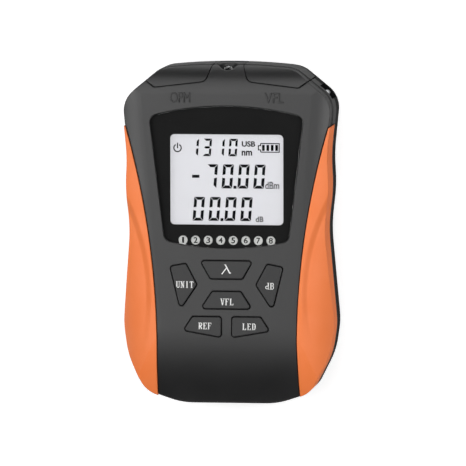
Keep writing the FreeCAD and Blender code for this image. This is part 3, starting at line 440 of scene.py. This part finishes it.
thicken(segments, INK_RISE / MM)
to_glass = Matrix.Translation(ink_spot) @ Matrix.Scale(MM, 4)
bmesh.ops.transform(segments, matrix=to_glass, verts=segments.verts)

# Twisted liquid crystal turned dark: neutral and flat, with no gloss of its own.
dark_crystal, tree, shader = surface(
    "dark_liquid_crystal", {"IOR": 1.5, "Roughness": 0.5, "Specular IOR Level": 0.04}
)
tint(tree, shader, grain(tree, 5 * MM), "060608", "0b0b0e")
piece("lcd_segments", segments, dark_crystal)


def lettering(name, words, low, high, rise, material, weight=0.0):
    """Words made to fill the plan box from low to high, standing rise above low."""
    curve = bpy.data.curves.new(f"{name}_text", "FONT")
    curve.body = words
    curve.offset = weight
    curve.extrude = 0.5
    writing = bpy.data.objects.new(f"{name}_text", curve)
    bpy.context.scene.collection.objects.link(writing)
    bpy.context.view_layer.update()
    mesh = bpy.data.meshes.new_from_object(writing)
    bpy.data.objects.remove(writing)
    bm = bmesh.new()
    bm.from_mesh(mesh)
    bpy.data.meshes.remove(mesh)
    bmesh.ops.remove_doubles(bm, verts=bm.verts, dist=1e-5)
    spans = [(min(v.co[i] for v in bm.verts), max(v.co[i] for v in bm.verts)) for i in (0, 1)]
    stretch = [(high[i] - low[i]) / (end - start) for i, (start, end) in enumerate(spans)]
    bmesh.ops.translate(bm, verts=bm.verts, vec=(-spans[0][0], -spans[1][0], 0.5))
    bmesh.ops.scale(bm, verts=bm.verts, vec=(*stretch, rise))
    bmesh.ops.translate(bm, verts=bm.verts, vec=low)
    piece(name, bm, material)


for name, words, left, foot, right, top, weight in (
    ("lcd_usb", "USB", 5.0, 11.4, 9.75, 13.35, 0.032),
    ("lcd_nm", "nm", 4.95, 8.3, 8.65, 10.0, 0.032),
    ("lcd_dbm", "dBm", 13.25, -3.3, 18.15, -0.8, 0.01),
    ("lcd_db", "dB", 9.85, -14.9, 12.6, -13.0, 0.015),
):
    low = ink_spot + Vector((left, foot, 0)) * MM
    high = ink_spot + Vector((right, top, 0)) * MM
    lettering(name, words, low, high, INK_RISE, dark_crystal, weight)


# ---- wire lights -----------------------------------------------------------------------------
# Eight clear pipes carry light up from chips on the board to spots in the window. Their tops
# are frosted, so they look white, and each has its wire's number printed over it.

frosted_acrylic = moulded("frosted_light_pipe", "a8a8a5", "9f9f9c", 0.5, 0.6 * MM, 0.01 * MM)
dress(frosted_acrylic, "light_pipes")

# Under each pipe a light chip shows its cap of yellow phosphor, matt like dried paint.
chip_phosphor = moulded("yellow_chip_phosphor", "d9cf86", "cfc470", 0.4, 0.3 * MM, 0.005 * MM)
dress(chip_phosphor, "light_chips")

# The digits are flat black print. A 1 fills a narrower box than the others.
number_ink = moulded(
    "black_screen_print", "070707", "0a0a0a", 0.5, 0.3 * MM, 0.002 * MM, settings=dull
)
WIRES = 8
NUMBER_WEIGHT = 0.02
NUMBER_GAP = 0.005 * MM
NUMBER_HALF_HEIGHT = 1.02 * MM
NUMBER_HALF_WIDTH = 0.7 * MM
ONE_HALF_WIDTH = 0.36 * MM
pipes_low, pipes_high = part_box("light_pipes")
pipe_radius = (pipes_high.y - pipes_low.y) / 2
pipe_pitch = (pipes_high.x - pipes_low.x - 2 * pipe_radius) / (WIRES - 1)
for i in range(WIRES):
    pipe_x = pipes_low.x + pipe_radius + i * pipe_pitch
    middle = Vector((pipe_x, pipes_low.y + pipe_radius, pipes_high.z + NUMBER_GAP))
    half = Vector((ONE_HALF_WIDTH if i == 0 else NUMBER_HALF_WIDTH, NUMBER_HALF_HEIGHT, 0))
    low, high = middle - half, middle + half
    number = str(i + 1)
    lettering(f"wire_number_{number}", number, low, high, INK_RISE, number_ink, NUMBER_WEIGHT)


# ---- window ----------------------------------------------------------------------------------
# A clear acrylic window lies in the face. Its back is printed black, but for the display's
# opening and the eight spots. The print looks deep and even through the polished acrylic.

mask_ink = moulded(
    "black_window_print", "171717", "1a1a1a", 0.5, 0.3 * MM, 0.001 * MM, settings=dull
)
dress(mask_ink, "lens_mask")


def clear(name, colour, ior):
    """A clear moulding that lets lamps through to what is behind it."""
    material, tree, shader = surface(
        name, {"Base Color": linear(colour), "IOR": ior, "Transmission Weight": 1}
    )
    path = add(tree, "ShaderNodeLightPath")
    open_air = add(tree, "ShaderNodeBsdfTransparent")
    either = add(
        tree,
        "ShaderNodeMixShader",
        {0: path.outputs["Is Shadow Ray"], 1: shader.outputs["BSDF"], 2: open_air.outputs["BSDF"]},
    )
    output = next(n for n in tree.nodes if n.type == "OUTPUT_MATERIAL")
    tree.links.new(either.outputs["Shader"], output.inputs["Surface"])
    return material, tree, shader


# Faint wipe marks run along the window.
window_acrylic, tree, shader = clear("polished_clear_acrylic", "fbfcfd", 1.49)
gloss(tree, shader, grain(tree, 6 * MM, 3, (1, 0.3, 1)), 0.01, 0.05)

# The pane is the solid's flat back raised to its front, with a fine polished bevel round it.
PANE_BEVEL = 0.15 * MM
pane = bmesh.new()
pane.from_mesh(nodes["display_lens"].data)
pane_low, pane_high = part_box("display_lens")
upper = [f for f in pane.faces if f.calc_center_median().z > pane_low.z + 0.01 * MM]
bmesh.ops.delete(pane, geom=upper, context="FACES")
bmesh.ops.dissolve_limit(pane, angle_limit=math.radians(1), verts=pane.verts, edges=pane.edges)
made = bmesh.ops.extrude_face_region(pane, geom=list(pane.faces), use_keep_orig=True)
front = [v for v in made["geom"] if isinstance(v, bmesh.types.BMVert)]
bmesh.ops.translate(pane, verts=front, vec=(0, 0, pane_high.z - pane_low.z))
rim = [e for e in pane.edges if e.calc_face_angle(0) > 1 and all(v in front for v in e.verts)]
bmesh.ops.bevel(
    pane, geom=rim, offset=PANE_BEVEL, segments=2, profile=0.5, affect="EDGES", material=-1
)
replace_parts(piece("window_pane", pane, window_acrylic), "display_lens")


# ---- keys ------------------------------------------------------------------------------------
# Six hard key tops in the same charcoal ABS as the face stand in it, on one sheet of black
# silicone with a boss under each. Their legends are pad-printed in white.

silky_key = {"Specular IOR Level": 0.6}
key_abs = moulded(
    "silk_moulded_key_abs", "0e0e0f", "111112", 0.46, 0.4 * MM, 0.005 * MM, 0.3 * MM, silky_key
)
dress(key_abs, "wavelength_key", "unit_key", "decibel_key")
dress(key_abs, "fault_light_key", "reference_key", "torch_key")
mat_silicone = moulded("black_moulded_silicone", "1b1b1c", "212123", 0.6, 0.4 * MM, 0.004 * MM)
dress(mat_silicone, "keypad_mat")

legend_ink = moulded("white_pad_print", "fbfbfa", "f3f3f1", 0.45, 0.3 * MM, 0.002 * MM)
LEGEND_RISE = 0.02 * MM

# Serif capitals in a cell one high and 0.6 wide. A stroke is its two ends and its width, and a bow
# is its middle, radius, start and sweep in degrees.
THICK = 0.155
THIN = 0.08
BOW = (THICK + THIN) / 2


def serif(x, y):
    """A short level serif across the end of a stem."""
    return (x - 0.13, y, x + 0.13, y, 0.07)


STEM = [(0.15, 0, 0.15, 1, THICK), serif(0.14, 0.035), serif(0.14, 0.965)]
BOWL_BARS = [(0.15, 0.95, 0.3, 0.95, THIN), (0.15, 0.52, 0.3, 0.52, THIN)]
ARMS = [
    (0.15, 0.95, 0.54, 0.95, THIN),
    (0.52, 0.95, 0.52, 0.76, THIN),
    (0.15, 0.52, 0.42, 0.52, THIN),
]
LEG = [(0.15, 0.05, 0.54, 0.05, THIN), (0.52, 0.05, 0.52, 0.26, THIN)]
STROKES = {
    "U": [(0.14, 0.25, 0.14, 1, THICK), (0.48, 0.25, 0.48, 1, THIN)]
    + [serif(0.14, 0.965), serif(0.47, 0.965)],
    "N": [(0.12, 0, 0.12, 1, THIN), (0.48, 0, 0.48, 1, THIN), (0.14, 0.95, 0.47, 0.05, THICK)]
    + [serif(0.14, 0.035), serif(0.1, 0.965), serif(0.48, 0.965)],
    "I": [(0.3, 0, 0.3, 1, THICK), serif(0.3, 0.035), serif(0.3, 0.965)],
    "T": [(0.3, 0, 0.3, 1, THICK), serif(0.3, 0.035), (0.03, 0.95, 0.57, 0.95, THIN)]
    + [(0.06, 0.95, 0.06, 0.76, THIN), (0.54, 0.95, 0.54, 0.76, THIN)],
    "V": [(0.1, 0.97, 0.31, 0, THICK), (0.52, 0.97, 0.31, 0, THIN)]
    + [serif(0.11, 0.965), serif(0.5, 0.965)],
    "F": STEM + ARMS,
    "E": STEM + ARMS + LEG,
    "L": STEM + LEG,
    "R": STEM + BOWL_BARS + [(0.3, 0.5, 0.52, 0.03, THICK)],
    "B": STEM + BOWL_BARS + [(0.15, 0.05, 0.3, 0.05, THIN)],
    "D": STEM + [(0.5, 0.28, 0.5, 0.72, THICK)]
    + [(0.15, 0.95, 0.27, 0.95, THIN), (0.15, 0.05, 0.27, 0.05, THIN)],
    "d": [(0.46, 0, 0.46, 1, THICK), serif(0.4, 0.965), serif(0.52, 0.035)],
    "\u03bb": [(0.3, 0.95, 0.43, 0.93, 0.09), (0.4, 0.95, 0.86, 0.1, 0.12)]
    + [(0.83, 0.08, 0.98, 0.15, 0.08), (0.54, 0.66, 0.08, 0.03, 0.09)]
    + [(0.02, 0.07, 0.12, 0.0, 0.08)],
}
UPPER_BOWL = (0.3, 0.735, 0.215, -90, 180)
BOWS = {
    "U": [(0.31, 0.24, 0.17, 180, 180)],
    "R": [UPPER_BOWL],
    "B": [UPPER_BOWL, (0.3, 0.285, 0.235, -90, 180)],
    "D": [(0.27, 0.72, 0.23, 0, 90), (0.27, 0.28, 0.23, -90, 90)],
    "d": [(0.27, 0.3, 0.21, 0, 360)],
}


def on_top(name, x, y):
    """The place on a piece's upper surface at x and y, turned to lie along it."""
    skin = BVHTree.FromObject(nodes[name], bpy.context.evaluated_depsgraph_get())
    spot, normal, _, _ = skin.ray_cast(Vector((x, y, 1)), Vector((0, 0, -1)))
    slope = Vector((0, 0, 1)).rotation_difference(normal).to_matrix().to_4x4()
    return Matrix.Translation(spot) @ slope


def legend(key, words, right, up, height, pitch):
    """Serif letters printed on a key's top, right and up from its middle."""
    bm = bmesh.new()
    for i, letter in enumerate(words):
        left = (i - len(words) / 2) * pitch
        for x0, y0, x1, y1, width in STROKES[letter]:
            middle = (left + (x0 + x1) / 2, (y0 + y1) / 2 - 0.5)
            turn = math.degrees(math.atan2(y1 - y0, x1 - x0))
            patch(bm, *middle, math.hypot(x1 - x0, y1 - y0), width, turn)
        for x, y, radius, start, sweep in BOWS.get(letter, ()):
            arc(bm, left + x, y - 0.5, radius, BOW, start, sweep, 10)
    thicken(bm, LEGEND_RISE / height)
    bmesh.ops.scale(bm, vec=(height, height, height), verts=bm.verts)
    low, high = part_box(key)
    middle = (low + high) / 2
    place = on_top(key, middle.x + right, middle.y + up)
    bmesh.ops.transform(bm, matrix=place, verts=bm.verts)
    piece(f"{key}_legend", bm, legend_ink, f"{key}_body")


for key, words, right, up, height, pitch in (
    ("wavelength_key", "\u03bb", 0.0, 0.28, 3.5, 1.0),
    ("unit_key", "UNIT", 0.6, 0.09, 2.35, 0.68),
    ("decibel_key", "dB", 0.22, -0.15, 2.35, 0.7),
    ("fault_light_key", "VFL", 0.39, -0.53, 2.35, 0.68),
    ("reference_key", "REF", 0.85, 0.3, 2.35, 0.7),
    ("torch_key", "LED", -0.13, 0.2, 2.35, 0.7),
):
    legend(key, words, right * MM, up * MM, height * MM, pitch)


# ---- test ports ------------------------------------------------------------------------------
# Each port is a turned, nickel-plated adapter. Behind the left one a photodiode sits in a black
# holder, and behind the right one a brass laser module with a zirconia sleeve.


def bright_metal(name, colour, roughness):
    """Bright metal, with the fine lines that turning, drawing or rolling leaves across Y."""
    material, tree, shader = surface(name, {"Base Color": linear(colour), "Metallic": 1})
    relief(tree, shader, stripes(tree, 0.3 * MM, "Y", 0.4), 0.003 * MM)
    gloss(tree, shader, grain(tree, 1.5 * MM), roughness - 0.03, roughness + 0.05)
    return material


nickel = bright_metal("turned_nickel_plate", "c9c5bd", 0.24)
brass = bright_metal("turned_brass", "c9a15a", 0.28)
dress(nickel, "power_adapter", "fault_adapter", "photodiode")
dress(brass, "laser_module")

# The sleeve is ground ceramic: dense, white and smooth, with a hard shine.
zirconia = moulded("ground_zirconia", "eeeeea", "e7e7e2", 0.2, 0.3 * MM, 0.001 * MM)
dress(zirconia, "fault_sleeve")


# ---- torch -----------------------------------------------------------------------------------
# A 5 mm light cast in clear epoxy, set in a glossy black ring between the port caps. The epoxy is
# like glass, but faintly rippled from its mould.

bezel_abs = moulded("gloss_black_bezel", "0e0e0f", "131314", 0.3, 0.5 * MM, 0.003 * MM)
dress(bezel_abs, "torch_bezel")
torch_epoxy, tree, shader = clear("clear_cast_epoxy", "f4f7fb", 1.53)
gloss(tree, shader, grain(tree, 2 * MM), 0.02, 0.06)
dress(torch_epoxy, "torch_led")


# ---- port caps -------------------------------------------------------------------------------
# One flap over each port, moulded in the face's ABS and hinged on pins at the back edge. Its
# sheen is a shade brighter than the face's, and its upright sides stay dull.

cap_abs = moulded(
    "silk_moulded_cap", "0b0b0c", "0e0e0f", 0.42, 0.4 * MM, 0.005 * MM, settings=silky
)
dress(cap_abs, "power_cap", "fault_cap")
dull_flanks(cap_abs)


# ---- port labels -----------------------------------------------------------------------------
# The ports' purposes are moulded into the face as raised letters of the face's own plastic. They
# show only by the light on their edges.

LABEL_HEIGHT = 3.6 * MM
LABEL_TO_CAP = 1.85 * MM
LABEL_RISE = 0.42 * MM
LABEL_SINK = 0.05 * MM
for port, words, right, width in (("power", "OPM", 0.2, 7.0), ("fault", "VFL", 0.4, 6.6)):
    port_low, port_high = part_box(f"{port}_adapter")
    middle = (port_low.x + port_high.x) / 2 + right * MM
    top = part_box(f"{port}_cap")[0].y - LABEL_TO_CAP
    half = width * MM / 2
    low = Vector((middle - half, top - LABEL_HEIGHT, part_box("front_shell")[1].z - LABEL_SINK))
    lettering(f"{port}_label", words, low, (middle + half, top), LABEL_RISE, front_abs)


# ---- sockets ---------------------------------------------------------------------------------
# An eight-way network jack in black polyester with gold-plated springs, and beside it a small
# charging socket folded from tin-plated steel.

jack_polyester = moulded("black_jack_polyester", "161617", "1b1b1c", 0.38, 0.5 * MM, 0.003 * MM)
dress(jack_polyester, "network_jack_housing")
gold = bright_metal("gold_plated_spring", "e0b45c", 0.22)
dress(gold, "network_jack_contacts")
folded_steel = bright_metal("tin_plated_steel", "b9bbbd", 0.3)
dress(folded_steel, "charge_socket", "lanyard_bar")


# ---- screws ----------------------------------------------------------------------------------
# Pan-head thread-forming screws, zinc-plated and blackened. The blackening is a little patchy, so
# their shine is too.

blackened_zinc, tree, shader = surface(
    "blackened_zinc", {"Base Color": linear("3a3a3d"), "Metallic": 1}
)
gloss(tree, shader, grain(tree, 0.6 * MM, 3), 0.3, 0.45)
dress(blackened_zinc, "case_screws", "board_screws")


# ---- studio ----------------------------------------------------------------------------------
# The meter lies on its back on a white bench. Large soft lamps stand at its sides, beyond its port
# end and over its face, and a weaker one over its foot, whose slope falls into shade.

BENCH_SIZE = 6
BENCH_GAP = 0.05 * MM
BENCH_GLOW = 0.6
floor = bmesh.new()
patch(floor, 0, 0, BENCH_SIZE, BENCH_SIZE)
bmesh.ops.translate(floor, verts=floor.verts, vec=(0, 0, -BENCH_GAP))
mesh = bpy.data.meshes.new("bench")
floor.to_mesh(mesh)
floor.free()
bench = bpy.data.objects.new("bench", mesh)
bpy.context.scene.collection.objects.link(bench)

# White paint, with a glow that only a look at it takes in, straight, in a shine or through glass.
bench_paint = bpy.data.materials.new("white_bench")
bench_paint.use_nodes = True
tree = bench_paint.node_tree
tree.nodes.clear()
path = add(tree, "ShaderNodeLightPath").outputs
seen = path["Is Camera Ray"]
for ray in ("Is Glossy Ray", "Is Transmission Ray"):
    seen = add(tree, "ShaderNodeMath", {0: seen, 1: path[ray]}, operation="MAXIMUM").outputs[0]
glow = add(tree, "ShaderNodeMath", {0: seen, 1: BENCH_GLOW}, operation="MULTIPLY").outputs[0]
paint = add(tree, "ShaderNodeBsdfDiffuse", {"Color": linear("e6e6e6")})
white = add(tree, "ShaderNodeEmission", {"Color": (1, 1, 1, 1), "Strength": glow})
both = add(tree, "ShaderNodeAddShader", {0: paint.outputs[0], 1: white.outputs[0]})
add(tree, "ShaderNodeOutputMaterial", {"Surface": both.outputs[0]})
mesh.materials.append(bench_paint)

AMBIENT = 0.04
world = bpy.data.worlds.new("studio")
bpy.context.scene.world = world
world.use_nodes = True
background = world.node_tree.nodes["Background"]
background.inputs["Color"].default_value = (1, 1, 1, 1)
background.inputs["Strength"].default_value = AMBIENT


def softbox(name, spot, width, depth, power):
    """An oblong soft lamp aimed at the meter. Its power is in watts."""
    lamp = bpy.data.lights.new(name, "AREA")
    lamp.shape = "RECTANGLE"
    lamp.size = width
    lamp.size_y = depth
    lamp.energy = power
    made = bpy.data.objects.new(name, lamp)
    bpy.context.scene.collection.objects.link(made)
    made.location = spot
    aim = Vector((0, 0, 0.02)) - Vector(spot)
    made.rotation_euler = aim.to_track_quat("-Z", "Y").to_euler()


# Each lamp has its place, its width and depth, and its power.
softbox("foot_lamp", (-0.07, -0.175, 0.6), 0.5, 0.17, 0.5)
softbox("face_lamp", (-0.07, 0.17, 0.62), 0.5, 0.26, 0.75)
softbox("port_end_lamp", (0, 0.44, 0.5), 0.5, 0.2, 0.7)
softbox("left_lamp", (-0.42, 0.04, 0.55), 0.36, 0.36, 1.7)
softbox("right_lamp", (0.42, 0.04, 0.55), 0.36, 0.36, 1.9)


# ---- camera ----------------------------------------------------------------------------------
# A long lens almost straight above, a little towards the port end and the right flank. The
# view is square.

ACROSS = math.radians(7.3)
ALONG = math.radians(5.2)
ROLL = math.radians(-0.1)
AIM = Vector((0.4 * MM, 0.25 * MM, 15 * MM))
REACH = 2.4
FIELD = 163.5 * MM

camera = bpy.data.cameras.new("camera")
camera.lens = camera.sensor_width * REACH / FIELD
viewer = bpy.data.objects.new("camera", camera)
bpy.context.scene.collection.objects.link(viewer)
bpy.context.scene.camera = viewer
back = Vector((math.sin(ACROSS), math.sin(ALONG), 1))
back.z = math.sqrt(1 - back.x**2 - back.y**2)
right = Vector((0, 1, 0)).cross(back).normalized()
up = back.cross(right)
axes = Matrix((right, up, back)).transposed() @ Matrix.Rotation(ROLL, 3, "Z")
viewer.matrix_world = Matrix.Translation(AIM + back * REACH) @ axes.to_4x4()

bpy.context.scene.view_settings.view_transform = "Standard"
